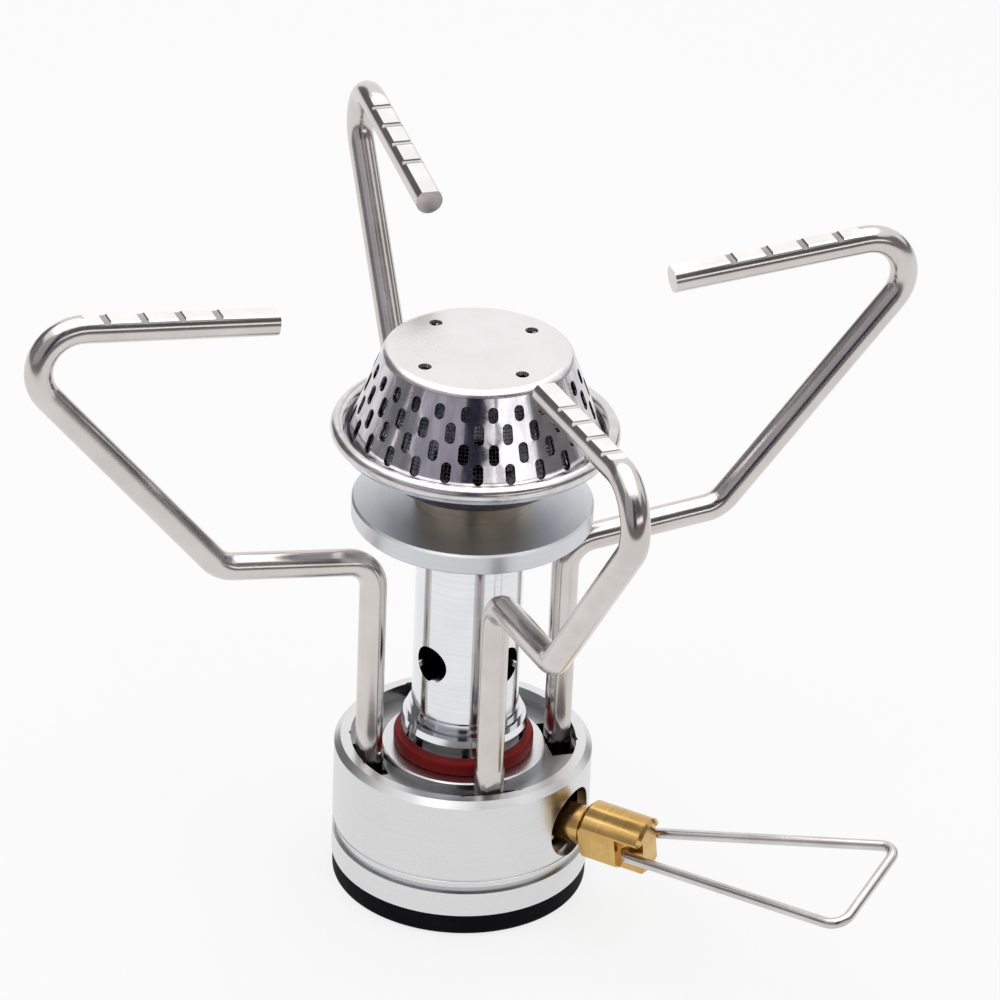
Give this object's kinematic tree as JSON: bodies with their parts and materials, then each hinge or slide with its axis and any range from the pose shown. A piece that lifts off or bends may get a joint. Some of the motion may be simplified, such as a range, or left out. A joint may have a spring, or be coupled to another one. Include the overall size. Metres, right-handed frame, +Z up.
{
  "type": "camping gas stove",
  "caption": "Canister-top camping stove with a turned base, a needle valve with a wire handle, a mixing column, a perforated burner head and folding wire pot supports.",
  "frame": {"origin": "on the stove's own axis, at the mouth of the canister thread, in the plane that the foot ring stands on", "axes": "+Z up along the burner column, +X out along the valve stem"},
  "size_m": [0.1169, 0.0996, 0.1017],
  "materials": {
    "satin_aluminium": "satin, finely turned",
    "black_rubber": "matte",
    "red_silicone": "satin",
    "plain_steel": "plain",
    "brass": "turned",
    "sintered_bronze": "porous",
    "nickelled_brass": "turned",
    "nickelled_wire": "polished",
    "chrome": "polished",
    "stainless_sheet": "bright pressed sheet",
    "steel_mesh": "woven",
    "stainless_rod": "polished"
  },
  "bodies": {
    "base": {"base_shell": "satin_aluminium", "base_plate": "satin_aluminium", "foot_ring": "black_rubber", "base_screws": "plain_steel", "valve_body": "brass", "canister_seal": "black_rubber", "depressor_pin": "plain_steel", "gas_filter": "sintered_bronze", "jet": "brass", "gland_nut": "brass", "spindle_seal": "black_rubber", "column_gasket": "red_silicone", "burner_column": "chrome", "heat_shield": "satin_aluminium", "burner_nut": "nickelled_brass", "burner_cup": "stainless_sheet", "burner_rim": "stainless_sheet", "flame_cone": "stainless_sheet", "flame_mesh": "steel_mesh", "top_plate": "stainless_sheet", "leg_spring_1": "plain_steel", "leg_spring_2": "plain_steel", "leg_spring_3": "plain_steel", "leg_spring_4": "plain_steel"},
    "clip_1": {"support_clip_1": "plain_steel"},
    "support_1": {"pot_support_1": "stainless_rod"},
    "clip_2": {"support_clip_2": "plain_steel"},
    "support_2": {"pot_support_2": "stainless_rod"},
    "clip_3": {"support_clip_3": "plain_steel"},
    "support_3": {"pot_support_3": "stainless_rod"},
    "clip_4": {"support_clip_4": "plain_steel"},
    "support_4": {"pot_support_4": "stainless_rod"},
    "needle": {"valve_needle": "plain_steel"},
    "spindle": {"valve_spindle": "brass"},
    "wire": {"control_wire": "nickelled_wire"}
  },
  "joints": [
    {"name": "support_1_lift", "type": "slide", "parent": "base", "child": "clip_1", "axis": [0, 0, 1], "range_m": [0, 0.0023], "deforming": ["leg_spring_1"]},
    {"name": "support_1_swivel", "type": "hinge", "parent": "clip_1", "child": "support_1", "pos_m": [0.01016, 0.01016, 0.015], "axis": [0, 0, 1], "range_deg": [-5, 87]},
    {"name": "support_2_lift", "type": "slide", "parent": "base", "child": "clip_2", "axis": [0, 0, 1], "range_m": [-0.0022, 0.0001], "deforming": ["leg_spring_2"]},
    {"name": "support_2_swivel", "type": "hinge", "parent": "clip_2", "child": "support_2", "pos_m": [-0.01016, 0.01016, 0.015], "axis": [0, 0, 1], "range_deg": [-4, 88]},
    {"name": "support_3_lift", "type": "slide", "parent": "base", "child": "clip_3", "axis": [0, 0, 1], "range_m": [0, 0.0023], "deforming": ["leg_spring_3"]},
    {"name": "support_3_swivel", "type": "hinge", "parent": "clip_3", "child": "support_3", "pos_m": [-0.01016, -0.01016, 0.015], "axis": [0, 0, 1], "range_deg": [-7.5, 84.5]},
    {"name": "support_4_lift", "type": "slide", "parent": "base", "child": "clip_4", "axis": [0, 0, 1], "range_m": [0, 0.0023], "deforming": ["leg_spring_4"]},
    {"name": "support_4_swivel", "type": "hinge", "parent": "clip_4", "child": "support_4", "pos_m": [0.01016, -0.01016, 0.015], "axis": [0, 0, 1], "range_deg": [-6.5, 85.5]},
    {"name": "valve_travel", "type": "slide", "parent": "base", "child": "needle", "axis": [1, 0, 0], "range_m": [0, 0.00113]},
    {"name": "valve_turn", "type": "hinge", "parent": "needle", "child": "spindle", "pos_m": [0.012, 0, 0.0142], "axis": [1, 0, 0], "range_deg": [0, 540]},
    {"name": "wire_fold", "type": "hinge", "parent": "spindle", "child": "wire", "pos_m": [0.0288, 0.0001, 0.01371], "axis": [0, -0.9806, -0.1959], "range_deg": [-101, 24]}
  ],
  "couplings": [
    {"joint": "valve_travel", "follows": "valve_turn", "m_per_rad": 0.00011937}
  ]
}
